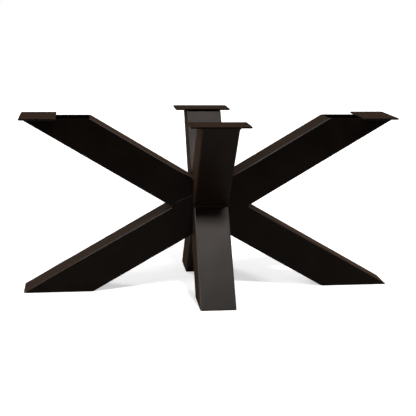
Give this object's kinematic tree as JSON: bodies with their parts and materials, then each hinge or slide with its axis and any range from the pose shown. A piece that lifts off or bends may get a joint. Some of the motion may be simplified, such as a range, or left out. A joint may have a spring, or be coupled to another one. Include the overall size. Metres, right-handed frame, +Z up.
{
  "type": "spider table base",
  "caption": "Black steel table base: X frames of wide square tube cross at a central hub, stand on level-cut feet and carry the table top on drilled screw plates.",
  "frame": {"origin": "on the floor, under the hub's centre line", "axes": "+Z up, +X along the long frame to the right, +Y along the short frame to the back"},
  "size_m": [1.5, 0.7, 0.705],
  "materials": {
    "powder_coat": "satin"
  },
  "bodies": {
    "root": {"cross_tube": "powder_coat", "front_arm": "powder_coat", "back_leg": "powder_coat", "left_leg": "powder_coat", "left_arm": "powder_coat", "right_leg": "powder_coat", "right_arm": "powder_coat", "left_plate": "powder_coat", "left_foot_plate": "powder_coat", "right_plate": "powder_coat", "right_foot_plate": "powder_coat", "front_plate": "powder_coat", "front_foot_plate": "powder_coat", "back_plate": "powder_coat", "back_foot_plate": "powder_coat"}
  },
  "joints": []
}
